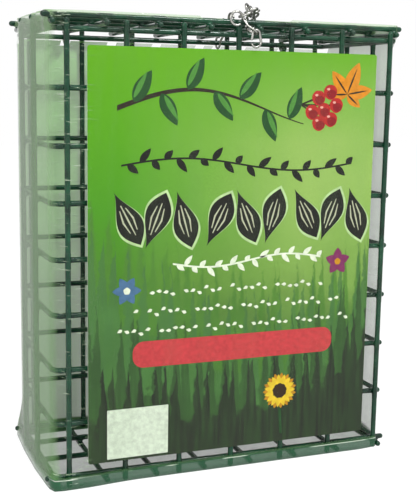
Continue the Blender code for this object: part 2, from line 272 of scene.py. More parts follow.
def shrink_film():
    """Polyolefin film, blown and heat shrunk. It is clear over the card and milky where it is
    doubled over the sides, the back and the foot. Its green is painted darker towards its foot, a
    painted shade, with painted glints along its fine creases and its hem, and a painted sheen
    where it is seen edgeways."""
    colours = bpy.context.scene.suet_feeder_colours
    material, tree, shader = start_material("shrunk_polyolefin_film")
    where = add(tree, "TexCoord", out="Object")
    parts = add(tree, "SeparateXYZ", {"Vector": where}, out=None).outputs
    # Folds of the hem about 22 mm long, streaks along the shrink direction 7 mm apart and drawn
    # 60 mm long, and creases across it 1.1 mm apart and 10 mm long
    folds = add(tree, "TexNoise", {"Vector": where, "Scale": 1 / (22 * MM), "Detail": 2})
    pull = (1 / (7 * MM), 1 / (7 * MM), 1 / (60 * MM))
    pulled = add(tree, "Mapping", {"Vector": where, "Scale": pull})
    streaks = add(tree, "TexNoise", {"Vector": pulled, "Scale": 1.0, "Detail": 4})
    cross = (1 / (10 * MM), 1 / (10 * MM), 1 / (1.1 * MM))
    crossed = add(tree, "Mapping", {"Vector": where, "Scale": cross})
    creases = add(
        tree, "TexNoise", {"Vector": crossed, "Scale": 1.0, "Detail": 3, "Roughness": 0.6}
    )
    glance = add(tree, "LayerWeight", {"Blend": 0.12}, out="Facing")

    # Shares that grow with a place or a pattern: where each starts, where it is full, its top
    low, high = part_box("film_sleeve")
    wire_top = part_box("hoop_1")[1].z
    lid_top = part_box("lid_cross_wire_1")[1].z
    shares = {}
    for name, value, start, full, top in (
        ("left", parts["X"], low.x + 7 * MM, low.x + 4 * MM, 0.5),
        ("right", parts["X"], high.x - 6 * MM, high.x - 3 * MM, 0.58),
        ("behind", parts["Y"], high.y - 7 * MM, high.y - 5.4 * MM, 1.0),
        ("beside_card", parts["X"], low.x + 84 * MM, low.x + 36 * MM, 0.4),
        ("foot", parts["Z"], low.z + 5.5 * MM, low.z + 1.5 * MM, 0.62),
        ("gathered", parts["Z"], low.z + 6 * MM, low.z + 2 * MM, 1.0),
        ("low_down", parts["Z"], low.z + 150 * MM, low.z + 10 * MM, 1.0),
        ("in_front", parts["Y"], low.y + 9 * MM, low.y + 5 * MM, 1.0),
        ("by_wire", parts["Z"], wire_top + 1.4 * MM, wire_top - 0.2 * MM, 1.0),
        ("over_fold", parts["Z"], wire_top - 0.5 * MM, wire_top - 0.3 * MM, 1.0),
        ("under_fold", parts["Z"], wire_top + 0.1 * MM, wire_top - 0.1 * MM, 1.0),
        ("on_front", parts["Y"], low.y + 6 * MM, low.y + 3 * MM, 1.0),
        ("front_left", parts["X"], low.x + 26 * MM, low.x + 15 * MM, 1.0),
        ("over_lid", parts["Z"], lid_top - 0.5 * MM, lid_top - 0.1 * MM, 0.5),
        # Painted glints along the hem's folds
        ("folds", folds, 0.5, 0.56, 0.7),
        ("cloud", streaks, 0.42, 0.8, 0.05),
        # Painted sheen: hazier where the film is seen edgeways, in place of its reflection
        ("sheen", glance, 0.55, 1.0, 0.25),
        # Painted glints on its creases
        ("ticks", creases, 0.61, 0.67, 0.5),
        ("sharp", creases, 0.58, 0.78, 1.0),
    ):
        shares[name] = add(tree, "MapRange", dict(zip(RANGE, (value, start, full, 0.0, top))))
    for name, operation, first, second in (
        # The back is doubled, and so hazier, to the left of the card
        ("doubled", "ADD", "beside_card", 0.42),
        ("back", "MULTIPLY", "behind", "doubled"),
        # Gathered over the lowest wire in front it is a thick, deep green hem, with long painted
        # glints along its top
        ("hem", "MULTIPLY", "by_wire", "in_front"),
        ("hem_haze", "MULTIPLY", "hem", 0.76),
        ("foot", "MAXIMUM", "foot", "hem_haze"),
        ("hem_edge", "MULTIPLY", "over_fold", "under_fold"),
        ("hem_folds", "MULTIPLY", "in_front", "folds"),
        ("hem_glints", "MULTIPLY", "hem_edge", "hem_folds"),
        # Painted glints on its creases in front, where it is strained over the wires at the left
        ("strained", "MULTIPLY", "on_front", "front_left"),
        ("ticks", "MULTIPLY", "ticks", "strained"),
        ("glints", "ADD", "ticks", "hem_glints"),
    ):
        pair = {0: shares[first], 1: shares.get(second, second)}
        shares[name] = add(tree, "Math", pair, operation=operation, use_clamp=True)
    haze = shares["left"]
    for name in ("right", "back", "foot", "over_lid", "cloud", "sheen", "glints"):
        haze = add(tree, "Math", {0: haze, 1: shares[name]}, operation="ADD", use_clamp=True)

    # Painted shade: the film's green is painted darker towards its foot
    milk, back = (
        add(
            tree,
            "Mix",
            {"Factor": shares["low_down"], FIRST: (*head, 1), SECOND: (*colours.film_foot, 1)},
            **COLOUR_MIX,
        )
        for head in (colours.film_haze, colours.film_back)
    )
    colour = add(
        tree, "Mix", {"Factor": shares["behind"], FIRST: milk, SECOND: back}, **COLOUR_MIX
    )
    # Deeper green where it is gathered and over the hem, and painted pale on its painted glints
    for name, code in (("gathered", "4C7C52"), ("hem", "0B5632"), ("glints", "F4F8EC")):
        pair = {FIRST: colour, SECOND: (*linear(code), 1)}
        colour = add(tree, "Mix", {"Factor": shares[name], **pair}, **COLOUR_MIX)
    depth = {"Strength": 0.8, "Distance": 0.25 * MM}
    bump = add(tree, "Bump", {"Height": shares["sharp"], **depth})
    feed(tree, shader, {"Base Color": colour, "Alpha": haze, "Normal": bump})
    feed(tree, shader, {"Roughness": 0.13, "IOR": 1.49})
    return material


def printed_board():
    """Coated card, offset printed. A soft meadow fades from a bright green head to charcoal
    grasses at the foot, under a satin varnish, with a fine dot."""
    colours = bpy.context.scene.suet_feeder_colours
    material, tree, shader = start_material("offset_printed_card")
    where = add(tree, "TexCoord", out="Object")
    parts = add(tree, "SeparateXYZ", {"Vector": where}, out=None).outputs
    # Mist drifts about 45 mm across, clumps about 16 mm, blades about 2 mm, and the print's dot,
    # drawn at 0.7 mm so that it shows
    drift = add(tree, "TexNoise", {"Vector": where, "Scale": 1 / (45 * MM), "Detail": 3})
    clumps = add(
        tree,
        "TexNoise",
        {"Vector": where, "Scale": 1 / (16 * MM), "Detail": 6, "Roughness": 0.62},
    )
    growth = (1 / (2.2 * MM), 1, 1 / (34 * MM))
    grown = add(tree, "Mapping", {"Vector": where, "Scale": growth})
    blades = add(tree, "TexNoise", {"Vector": grown, "Scale": 1.0, "Detail": 3})
    dot = add(tree, "TexNoise", {"Vector": where, "Scale": 1 / (0.7 * MM), "Detail": 1})

    low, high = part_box("printed_card")
    tall = high.z - low.z
    height, across, drifts, stems, dapple, dots, above = (
        add(tree, "MapRange", dict(zip(RANGE, span)))
        for span in (
            (parts["Z"], low.z, high.z, 0, 1),
            (parts["X"], low.x, high.x, 0, 1),
            (drift, 0.2, 0.55, 0.65, 1.0),
            (blades, 0.3, 0.7, 0.6, 1.0),
            (clumps, 0.3, 0.7, 0.82, 1.12),
            (dot, 0.25, 0.75, 0.93, 1.06),
            (parts["Z"], low.z + 0.3 * tall, low.z + 0.6 * tall, 0, 1),
        )
    )
    greens = ((0.3, "3F6A2A"), (0.45, "477F1E"), (0.62, "49911A"), (0.8, "549C12"))
    sky = [(0.0, colours.ground), (1.0, colours.sky)]
    sky += [(position, linear(code)) for position, code in greens]
    colour = add(tree, "ValToRGB", {"Fac": height}, stops=sky)
    # The mist is thickest right of the middle and two thirds up
    mist = drifts
    for value, levels in (
        (height, ((0.2, 0), (1.0, 0.1), (0.45, 0.6), (0.62, 0.95), (0.78, 0.95), (0.9, 0.5))),
        (across, ((0.1, 0), (1.0, 1), (0.45, 0.45), (0.75, 0.95))),
    ):
        levels = [(position, (level,) * 3) for position, level in levels]
        share = add(tree, "ValToRGB", {"Fac": value}, stops=levels)
        mist = add(tree, "Math", {0: mist, 1: share}, operation="MULTIPLY")
    pair = {FIRST: colour, SECOND: (*colours.mist, 1)}
    colour = add(tree, "Mix", {"Factor": mist, **pair}, **COLOUR_MIX)

    for index, (profile, code, soft, rough) in enumerate(GRASSES):
        ends = [(step / (len(profile) - 1), (value,) * 3) for step, value in enumerate(profile)]
        edge = add(tree, "ValToRGB", {"Fac": across}, stops=[ends[0], ends[-1], *ends[1:-1]])
        shift = {"Vector": where, "Location": (index * 37 * MM, index * 11 * MM, 0)}
        shifted = add(tree, "Mapping", shift)
        grain = {"Scale": 1 / (9 * MM), "Detail": 7, "Roughness": 0.68}
        ragged = add(tree, "TexNoise", {"Vector": shifted, **grain})
        # Tufts about 7 mm apart stand out of the line as narrow blades
        lean = {0: ragged, 1: 6 * MM, 2: parts["X"]}
        leaning = add(tree, "Math", lean, operation="MULTIPLY_ADD")
        offset = add(tree, "Math", {0: leaning, 1: index * 37 * MM}, operation="ADD")
        spacing = {"W": offset, "Scale": 1 / (7 * MM), "Randomness": 0.9}
        tufts = add(tree, "TexVoronoi", spacing, voronoi_dimensions="1D")
        for span in (
            (tufts, 0.0, 0.42, rough * 1.5, -rough * 0.6),
            (ragged, 0.25, 0.75, -rough * 0.5, rough * 0.5),
        ):
            share = add(tree, "MapRange", dict(zip(RANGE, span)))
            edge = add(tree, "Math", {0: edge, 1: share}, operation="ADD")
        edge = add(tree, "Math", {0: edge, 1: height}, operation="SUBTRACT")
        inside = add(tree, "MapRange", dict(zip(RANGE, (edge, -soft / 2, soft / 2, 0, 1))))
        share = add(tree, "Math", {0: inside, 1: stems}, operation="MULTIPLY")
        pair = {FIRST: colour, SECOND: (*linear(code), 1)}
        colour = add(tree, "Mix", {"Factor": share, **pair}, **COLOUR_MIX)
    # Light and dark clumps in the grass, and the dot all over
    flat = add(tree, "Mix", {"Factor": above, 2: dapple, 3: 1.0}, data_type="FLOAT")
    grain = add(tree, "Math", {0: flat, 1: dots}, operation="MULTIPLY")
    shaded = add(tree, "VectorMath", {0: colour, "Scale": grain}, operation="SCALE")
    feed(tree, shader, {"Base Color": shaded, "Roughness": 0.5})
    feed(tree, shader, {"IOR": 1.5, "Specular IOR Level": 0.3})
    return material


def cut_edge():
    """Raw edge of cut card: bare white board, matt, with a faint fibre of about 0.6 mm."""
    material, tree, shader = start_material("raw_card_edge")
    where = add(tree, "TexCoord", out="Object")
    fibre = add(tree, "TexNoise", {"Vector": where, "Scale": 1 / (0.6 * MM), "Detail": 3})
    shades = {FIRST: (*linear("CDD3BE"), 1), SECOND: (*linear("F4F5EA"), 1)}
    colour = add(tree, "Mix", {"Factor": fibre, **shades}, **COLOUR_MIX)
    feed(tree, shader, {"Base Color": colour, "Roughness": 0.85})
    return material


def ink(name, colour):
    """Process ink on the card under its varnish: one colour, satin, with the paper's slight
    mottle of about 2 mm."""
    material, tree, shader = start_material(name)
    where = add(tree, "TexCoord", out="Object")
    mottle = add(tree, "TexNoise", {"Vector": where, "Scale": 1 / (2 * MM), "Detail": 3})
    shade = add(tree, "MapRange", dict(zip(RANGE, (mottle, 0.3, 0.7, 0.84, 1.1))))
    shaded = add(tree, "VectorMath", {0: colour, "Scale": shade}, operation="SCALE")
    feed(tree, shader, {"Base Color": shaded, "Roughness": 0.4})
    feed(tree, shader, {"IOR": 1.5, "Specular IOR Level": 0.3})
    return material


def finish(name, maker, *facts):
    """The named material, made once."""
    return bpy.data.materials.get(name) or maker(*facts)


def middle(node):
    low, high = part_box(node)
    return (low + high) / 2


def numbered(stem, count):
    return [f"{stem}_{index + 1}" for index in range(count)]


def place(piece, body, nodes):
    """Puts a finished piece in the scene in place of its solids."""
    bpy.context.scene.collection.objects.link(piece)
    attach(piece, body)
    if nodes:
        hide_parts(*nodes)


def sheet(name, points, faces, material, smooth=True):
    """A piece made of points and faces."""
    mesh = bpy.data.meshes.new(name)
    mesh.from_pydata(points, [], faces)
    if smooth:
        mesh.shade_smooth()
    mesh.materials.append(material)
    return bpy.data.objects.new(name, mesh)


def wander(point, amount, grain):
    """A slow unevenness that is the same each time, from the place itself."""
    return amount * noise.noise(Vector(point) / grain)


def round_tips(points, shares, radius):
    """Draws the wire in to a dome at both ends."""
    domes = ((0.0, 0.05), (0.04, 0.30), (0.14, 0.52), (0.32, 0.74), (0.6, 0.92), (1.0, 1.0))
    thin = [share for _, share in domes]
    for _ in range(2):
        tip, inner = points[0], points[1]
        along = (inner - tip).normalized()
        dome = [tip + along * radius * reach for reach, _ in domes]
        points, shares = (dome + points[1:])[::-1], (thin + shares[1:])[::-1]
    return points, shares


def bent_wire(name, runs, diameter, material, closed=False, uneven=0.0, sides=5):
    """Wires along lists of points, with round sections and rounded ends."""
    curve = bpy.data.curves.new(name, "CURVE")
    curve.dimensions = "3D"
    curve.bevel_depth = diameter / 2
    curve.bevel_resolution = sides
    curve.use_fill_caps = not closed
    for run in runs:
        points = [Vector(point) for point in run]
        shares = [1 + wander(point, uneven / diameter * 2, 9 * MM) for point in points]
        if not closed:
            points, shares = round_tips(points, shares, diameter / 2)
        spline = curve.splines.new("POLY")
        spline.points.add(len(points) - 1)
        for made, point, share in zip(spline.points, points, shares):
            made.co = (*point, 1)
            made.radius = share
        spline.use_cyclic_u = closed
        spline.use_smooth = True
    curve.materials.append(material)
    return bpy.data.objects.new(name, curve)


def as_mesh(wire):
    """The mesh of a bent wire, for pieces that share one shape or stand turned."""
    mesh = bpy.data.meshes.new_from_object(wire)
    bpy.data.objects.remove(wire)
    return mesh


def stepped(start, end):
    """Points along a straight run, about a wire step apart."""
    start, end = Vector(start), Vector(end)
    count = max(2, round((end - start).length / WIRE_STEP))
    return [start.lerp(end, index / count) for index in range(count + 1)]


def flat_reach(radius):
    """From the centre of a solid wire, which has eight sides, to one of its flats."""
    return radius * math.cos(math.pi / 8)


def hoop_run(node, radius, bend):
    """The centre line of a hoop, all the way round."""
    low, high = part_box(node)
    centre, flat = (low + high) / 2, flat_reach(radius)
    half_x, half_y = (high.x - low.x) / 2 - flat, (high.y - low.y) / 2 - flat
    points = []
    for quarter, (side, end) in enumerate(((1, 1), (-1, 1), (-1, -1), (1, -1))):
        corner = Vector((side * (half_x - bend), end * (half_y - bend), 0))
        for step in range(7):
            angle = (quarter + step / 6) * math.pi / 2
            points.append(centre + corner + Vector((math.cos(angle), math.sin(angle), 0)) * bend)
    run = []
    for here, after in zip(points, points[1:] + points[:1]):
        straight = (after - here).length > 1.2 * WIRE_STEP
        run += stepped(here, after)[:-1] if straight else [here]
    return run


def straight_run(node, axis, lift=0.0):
    """The centre line of a straight wire, end to end."""
    low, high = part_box(node)
    start, end = middle(node), middle(node)
    start[axis], end[axis] = low[axis], high[axis]
    return [point + Vector((0, 0, lift)) for point in stepped(start, end)]


def place_wires(sizes, piece, body, nodes, runs, closed=False):
    """Draws the wires of one kind as one piece in the cage's coated wire."""
    vinyl = finish("dipped_green_pvc", dipped_vinyl)
    wire = bent_wire(piece, runs, sizes.wire_diameter, vinyl, closed, sizes.coat_wander)
    place(wire, body, nodes)


class SUETFEEDER_OT_cage_wires(bpy.types.Operator):
    """Draws the hoops, uprights and floor wires in round coated wire"""

    bl_idname = "suet_feeder.cage_wires"
    bl_label = "Cage wires"
    bl_options = {"REGISTER", "UNDO"}

    def execute(self, context):
        sizes = context.scene.suet_feeder_sizes
        radius = sizes.wire_diameter / 2
        hoops = numbered("hoop", HOOP_COUNT)
        runs = [hoop_run(node, radius, sizes.corner_radius) for node in hoops]
        place_wires(sizes, "coated_hoops", "cage", hoops, runs, closed=True)
        for side, count in UPRIGHT_COUNTS.items():
            nodes = numbered(f"{side}_upright", count)
            runs = [straight_run(node, 2) for node in nodes]
            place_wires(sizes, f"coated_{side}_uprights", "cage", nodes, runs)
        # The round rods stand on the ground where the solids' flats do
        lift = radius - flat_reach(radius)
        nodes = numbered("floor_rod", FLOOR_ROD_COUNT)
        runs = [straight_run(node, 1, lift) for node in nodes]
        place_wires(sizes, "coated_floor_rods", "cage", nodes, runs)
        nodes = numbered("floor_cross_wire", FLOOR_CROSS_COUNT)
        runs = [straight_run(node, 0) for node in nodes]
        place_wires(sizes, "coated_floor_cross_wires", "cage", nodes, runs)
        return {"FINISHED"}


class SUETFEEDER_OT_lid_wires(bpy.types.Operator):
    """Draws the lid's mesh and the two rods that curl round the hinge wire"""

    bl_idname = "suet_feeder.lid_wires"
    bl_label = "Lid wires"
    bl_options = {"REGISTER", "UNDO"}

    def execute(self, context):
        sizes = context.scene.suet_feeder_sizes
        plain = [node for node in numbered("lid_rod", LID_ROD_COUNT) if node not in CURLED_RODS]
        runs = [straight_run(node, 1) for node in plain]
        place_wires(sizes, "coated_lid_rods", "lid", plain, runs)
        nodes = numbered("lid_cross_wire", LID_CROSS_COUNT)
        runs = [straight_run(node, 0) for node in nodes]
        place_wires(sizes, "coated_lid_cross_wires", "lid", nodes, runs)
        hinge = Vector(frame["joints"][0]["pos_m"])
        height = middle(plain[1]).z - hinge.z
        runs = []
        for node in CURLED_RODS:
            x, front = middle(node).x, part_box(node)[0].y
            run = stepped((x, front, hinge.z + height), (x, hinge.y, hinge.z + height))
            curl = arc(hinge, height, math.pi / 2, math.pi / 2 - CURL, 24, Y_WAY, Z_WAY)[1:]
            run += [Vector((x, point.y, point.z)) for point in curl]
            runs.append(run)
        place_wires(sizes, "coated_hinge_rods", "lid", list(CURLED_RODS), runs)
        return {"FINISHED"}


def weld_shape(wire, reach, gap):
    """Coat pooled where two wires cross, in millimetres: one wire along X below, one along Y
    above."""
    pool = bpy.data.metaballs.new("weld_pool")
    pool.resolution = pool.render_resolution = 0.5
    pool.threshold = 0.6
    # A capsule's field falls to the threshold at this share of its own radius
    field_share = 0.454
    coat = 0.06
    for height, turn in ((-gap / 2, 0), (gap / 2, math.pi / 2)):
        part = pool.elements.new(type="CAPSULE")
        part.co = (0, 0, height)
        part.size_x = reach
        part.radius = (wire / 2 + coat) / field_share
        part.stiffness = 1.2
        part.rotation = Quaternion((0, 0, 1), turn)
    holder = bpy.data.objects.new("weld_pool", pool)
    bpy.context.scene.collection.objects.link(holder)
    bpy.context.view_layer.update()
    settled = holder.evaluated_get(bpy.context.evaluated_depsgraph_get())
    shaped = bpy.data.meshes.new_from_object(settled)
    points = np.array([vert.co for vert in shaped.vertices])
    faces = [tuple(face.vertices) for face in shaped.polygons]
    bpy.data.objects.remove(holder)
    bpy.data.metaballs.remove(pool)
    if not len(points):
        raise RuntimeError("the weld's pool came out empty")
    return points, faces


def pooled_welds(name, crossings, shape):
    """One piece with a pool of coat at every crossing: its place, the lower wire's way and the way
    from the lower wire to the upper."""
    points, faces = shape
    all_points, all_faces = [], []
    for index, (spot, along, rise) in enumerate(crossings):
        along, rise = Vector(along), Vector(rise)
        turn = Matrix((along, rise.cross(along), rise)).transposed()
        all_points.append(points @ np.array(turn).T * MM + np.array(spot))
        all_faces += [tuple(vertex + index * len(points) for vertex in face) for face in faces]
    vinyl = finish("dipped_green_pvc", dipped_vinyl)
    return sheet(name, np.vstack(all_points).tolist(), all_faces, vinyl)


class SUETFEEDER_OT_welds(bpy.types.Operator):
    """Pools the coat where the wires cross and are welded"""

    bl_idname = "suet_feeder.welds"
    bl_label = "Welds"
    bl_options = {"REGISTER", "UNDO"}

    def execute(self, context):
        sizes = context.scene.suet_feeder_sizes
        low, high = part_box("hoop_1")
        flat = flat_reach(sizes.wire_diameter / 2)
        run_y = {"front": low.y + flat, "back": high.y - flat}
        run_x = {"left": low.x + flat, "right": high.x - flat}
        gap = abs(middle("front_upright_1").y - run_y["front"])
        shape = weld_shape(sizes.wire_diameter / MM, sizes.weld_reach / MM, gap / MM)
        heights = [middle(node).z for node in numbered("hoop", HOOP_COUNT)]
        cage = []
        for side, way in (("front", -1), ("back", 1)):
            for node in numbered(f"{side}_upright", UPRIGHT_COUNTS[side]):
                x, y = middle(node).x, (middle(node).y + run_y[side]) / 2
                cage += [((x, y, z), (1, 0, 0), (0, way, 0)) for z in heights]
        for side, way in (("left", -1), ("right", 1)):
            for node in numbered(f"{side}_upright", UPRIGHT_COUNTS[side]):
                x, y = (middle(node).x + run_x[side]) / 2, middle(node).y
                cage += [((x, y, z), (0, 1, 0), (way, 0, 0)) for z in heights]
        across = [middle(node).y for node in numbered("floor_cross_wire", FLOOR_CROSS_COUNT)]
        for node in numbered("floor_rod", FLOOR_ROD_COUNT):
            x, z = middle(node).x, (middle(node).z + middle("hoop_1").z) / 2
            cage += [((x, y, z), (0, 1, 0), (0, 0, 1)) for y in (*run_y.values(), *across)]
        place(pooled_welds("cage_weld_pools", cage, shape), "cage", [])
        lid = []
        for node in numbered("lid_rod", LID_ROD_COUNT):
            for cross in numbered("lid_cross_wire", LID_CROSS_COUNT):
                spot = (middle(node).x, middle(cross).y, middle(cross).z - gap / 2)
                lid.append((spot, (0, 1, 0), (0, 0, 1)))
        place(pooled_welds("lid_weld_pools", lid, shape), "lid", [])
        return {"FINISHED"}


def arc(centre, radius, first, last, steps, across, up):
    """Points along part of a circle, in the plane of two ways square to each other."""
    made = []
    for step in range(steps + 1):
        angle = first + (last - first) * step / steps
        made.append(centre + (across * math.cos(angle) + up * math.sin(angle)) * radius)
    return made


def link_run():
    """One wire bent into two rings square to each other, joined by a waist."""
    leave, stop = math.radians(45), math.radians(13)
    centre = X_WAY * RING_SPACING
    first = arc(Vector(), RING_RADIUS, stop, math.tau - leave, 36, X_WAY, Z_WAY)
    second = arc(centre, RING_RADIUS, leave, math.tau - stop, 36, -X_WAY, Y_WAY)
    pull = 3.4 * MM
    out, into = (X_WAY + Z_WAY).normalized() * pull, (X_WAY + Y_WAY).normalized() * pull
    waist = []
    for step in range(1, 10):
        t = step / 10
        waist.append(
            first[-1] * (2 * t**3 - 3 * t**2 + 1)
            + out * (t**3 - 2 * t**2 + t)
            + second[0] * (3 * t**2 - 2 * t**3)
            + into * (t**3 - t**2)
        )
    return first + waist + second


def clip_run():
    """The clip's pear-shaped loop, hung down X, with the gap of its spring gate in one leg."""
    down, across = X_WAY, Z_WAY
    small, large = 1.7 * MM, 2.5 * MM
    over_ring, under_ring = 1.9 * MM, 6.15 * MM
    top, foot = down * (small - over_ring), down * (under_ring - large)
    side = math.pi / 2 + math.asin((large - small) / (foot - top).length)
    over = arc(top, small, side, math.tau - side, 20, down, across)
    under = arc(foot, large, -side, side - math.radians(38), 24, down, across)
    gate = foot + (down * math.cos(side) + across * math.sin(side)) * large
    return [gate, *over, *under]


class SUETFEEDER_OT_chain(bpy.types.Operator):
    """Bends the jack chain's links and the clip as they lie on the lid"""

    bl_idname = "suet_feeder.chain"
    bl_label = "Chain"
    bl_options = {"REGISTER", "UNDO"}

    def execute(self, context):
        sizes = context.scene.suet_feeder_sizes
        zinc = finish("bright_zinc_plated_steel", plated_zinc)
        shape = as_mesh(bent_wire("link_shape", [link_run()], sizes.link_wire, zinc, sides=4))
        first = Vector(frame["joints"][1]["pos_m"])
        lie = Matrix.Translation(first) @ Matrix.Rotation(-math.pi / 2, 4, "Z")
        along = Matrix.Translation(X_WAY * RING_SPACING)
        seat = Matrix.Translation(X_WAY * RING_SEAT)
        for index, (dip, turn) in enumerate(zip(LINK_DIPS, (*LINK_TURNS, 0))):
            lie = lie @ Matrix.Rotation(math.radians(dip), 4, "Y")
            piece = bpy.data.objects.new(f"zinc_link_{index + 1}", shape)
            piece.matrix_world = last = lie
            place(piece, f"link_{index + 1}", [f"chain_link_{index + 1}"])
            lie = lie @ along @ Matrix.Rotation(math.radians(turn), 4, "Z") @ seat
        loop = as_mesh(bent_wire("zinc_clip", [clip_run()], sizes.clip_wire, zinc, sides=4))
        clip = bpy.data.objects.new("zinc_clip", loop)
        ring_end = Matrix.Translation(X_WAY * (RING_SPACING + RING_RADIUS))
        clip.matrix_world = last @ ring_end @ Matrix.Rotation(math.radians(CLIP_HANG), 4, "Y")
        place(clip, "clip", ["chain_clip"])
        return {"FINISHED"}


# The card's print. Its places and sizes are in millimetres from the card's lower left corner


def turned(points, x, z, angle):
    """Outline points turned by an angle and moved to their place on the card."""
    cosine, sine = math.cos(math.radians(angle)), math.sin(math.radians(angle))
    return [(x + a * cosine - b * sine, z + a * sine + b * cosine) for a, b in points]


def pointed(x, z, length, width, angle, steps, belly, swell):
    """An outline with a point at both ends. A belly over 1 is nearer its far end."""
    edge = [step / steps for step in range(steps + 1)]
    upper = [(length * t, width / 2 * math.sin(math.pi * t**belly) ** swell) for t in edge]
    lower = [(a, -b) for a, b in upper[-2:0:-1]]
    return turned(upper + lower, x, z, angle)


def leaf(x, z, length, width, angle):
    return pointed(x, z, length, width, angle, 14, 0.8, 0.85)


def seed(x, z, length, width, angle):
    return pointed(x, z, length, width, angle, 18, 1.45, 1)


def petals(x, z, length, width, first, step):
    return [leaf(x, z, length, width, angle) for angle in range(first, first + 360, step)]


def bumpy(x, z, wide, tall, bumps, depth):
    """A round spot that isn't quite even."""
    made = []
    for step in range(72):
        angle = step * math.tau / 72
        waves = math.sin(bumps * angle) + 0.6 * math.sin((bumps * 2 + 1) * angle)
        swell = 1 + depth * waves
        made.append((x + wide * swell * math.cos(angle), z + tall * swell * math.sin(angle)))
    return made


def rounded_box(left, foot, right, head, radius):
    left, foot, right, head = left + radius, foot + radius, right - radius, head - radius
    made = []
    for quarter, (x, z) in enumerate(((right, head), (left, head), (left, foot), (right, foot))):
        for step in range(9):
            angle = (quarter + step / 8) * math.pi / 2
            made.append((x + radius * math.cos(angle), z + radius * math.sin(angle)))
    return made


def ribbon(spine):
    """The outline of a line that is given with half its thickness at each point."""
    upper = [(x, z + half) for x, z, half in spine]
    return upper + [(x, z - half) for x, z, half in spine[::-1]]


def seed_row():
    """A row of big striped seeds, as heavy on the card as a title."""
    row = []
    for index in range(9):
        low, angle = (104, 64 + 5 * (index % 3)) if index % 2 else (131, -62 - 6 * (index % 3))
        row.append((12.5 + 15.6 * index, low, angle))
    stripes = []
    for x, z, angle in row:
        for side in (-1, 0, 1):
            tip = 7 + 2 * abs(side)
            spine = ((tip, 1.6 * side, 0.25), (15, 2.7 * side, 0.45), (30 - tip, 1.9 * side, 0.2))
            stripes.append(turned(ribbon(spine), x, z, angle))
    rims = [seed(x, z, 30, 14.2, angle) for x, z, angle in row]
    seeds = [seed(x, z, 28.4, 12.6, angle) for x, z, angle in row]
    return (
        ("seed_rims", rims, 1, "ink_pale_green"),
        ("sunflower_seeds", seeds, 2, "ink_black"),
        ("seed_stripes", stripes, 3, "ink_cream"),
    )


def sprigs():
    """A dark sprig over the row of seeds and a pale one under it."""
    steps = 40
    for name, start, stop, z, bow, size, tone in (
        ("dark_sprig", 16, 138, 143.5, 3.2, 8.6, "ink_black"),
        ("pale_sprig", 42, 122, 96.0, -2.4, 6.4, "ink_cream_white"),
    ):
        spine = []
        for step in range(steps + 1):
            share = step / steps
            spine.append((start + (stop - start) * share, z + bow * math.sin(math.tau * share)))
        outlines = [ribbon([(*spot, 0.45) for spot in spine])]
        for index, spot in enumerate(spine[1:-1:2]):
            length = size * (0.8 + 0.2 * math.sin(index * 1.9))
            angle = 44 + 8 * math.sin(index) if index % 2 else -46 + 8 * math.cos(index)
            outlines.append(leaf(*spot, length, size * 0.4, angle))
        yield name, outlines, 1, tone


def leafy_twig():
    """A twig with leaves, berries and an autumn leaf above, where the card is bright."""
    steps = 36
    spine = [(14 + 96 * t / steps, 170 + 9 * math.sin(t / steps * 4.0)) for t in range(steps + 1)]
    twig = ribbon([(*spot, 1.3 - step / 34) for step, spot in enumerate(spine)])
    leaves, lights = [], []
    for index in range(3, 34, 5):
        angle = 58 + 10 * math.sin(index) if index % 2 else -60 + 9 * math.cos(index)
        leaves.append(leaf(*spine[index], 17, 7.4, angle))
        start = turned([(1.5, 0.9)], *spine[index], angle)[0]
        lights.append(leaf(*start, 14, 2.6, angle + 3))
    berries = [(118, 176), (124.5, 179), (121, 170), (128, 172.5)]
    berries += [(114.5, 169), (125, 165.5), (118.5, 163.5)]
    stalks = [[(108, 172.2), (108, 173), (x, z + 0.4), (x, z - 0.4)] for x, z in berries[:5]]
    shades = [bumpy(x + 0.6, z - 1.0, 2.6, 2.2, 3, 0.03) for x, z in berries]
    glints = [bumpy(x - 1.2, z + 1.4, 0.9, 0.6, 3, 0.02) for x, z in berries]
    # The lobes of the autumn leaf: the way each points, its length and its width
    lobes = ((10, 16, 8), (68, 19, 9), (128, 16, 8), (-40, 11, 6), (182, 11, 6))
    autumn = [leaf(134, 178, size * 0.9, wide * 0.9, angle) for angle, size, wide in lobes]
    veins = [leaf(134, 178, size * 0.75, 0.9, angle) for angle, size, _ in lobes]
    return (
        ("twig", [twig], 1, "ink_bark"),
        ("twig_leaves", leaves, 2, "ink_leaf_green"),
        ("leaf_lights", lights, 3, "ink_leaf_light"),
        ("berry_stalks", stalks, 1, "ink_bark"),
        ("red_berries", [bumpy(x, z, 3.7, 3.7, 3, 0.02) for x, z in berries], 4, "ink_red"),
        ("berry_shades", shades, 5, "ink_deep_red"),
        ("berry_lights", glints, 6, "ink_pink"),
        ("autumn_leaf", autumn, 2, "ink_orange"),
        ("autumn_veins", veins, 3, "ink_bark"),
    )


def millet():
    """Millet in three lines, as dense as small print, with gaps like those between words."""
    pitch = 3.5
    grains = []
    for number, (start, stop, z) in enumerate(((30, 126, 82.4), (22, 134, 73.2), (14, 142, 63.9))):
        for index in range(int((stop - start) / pitch)):
            if (index + number * 3) % 7 != 4:
                spot = (start + index * pitch, z + 0.8 * math.sin(index * 1.7))
                grains.append(seed(*spot, 3.0, 1.7, 28 * math.sin(index * 3.3 + number)))
    return grains


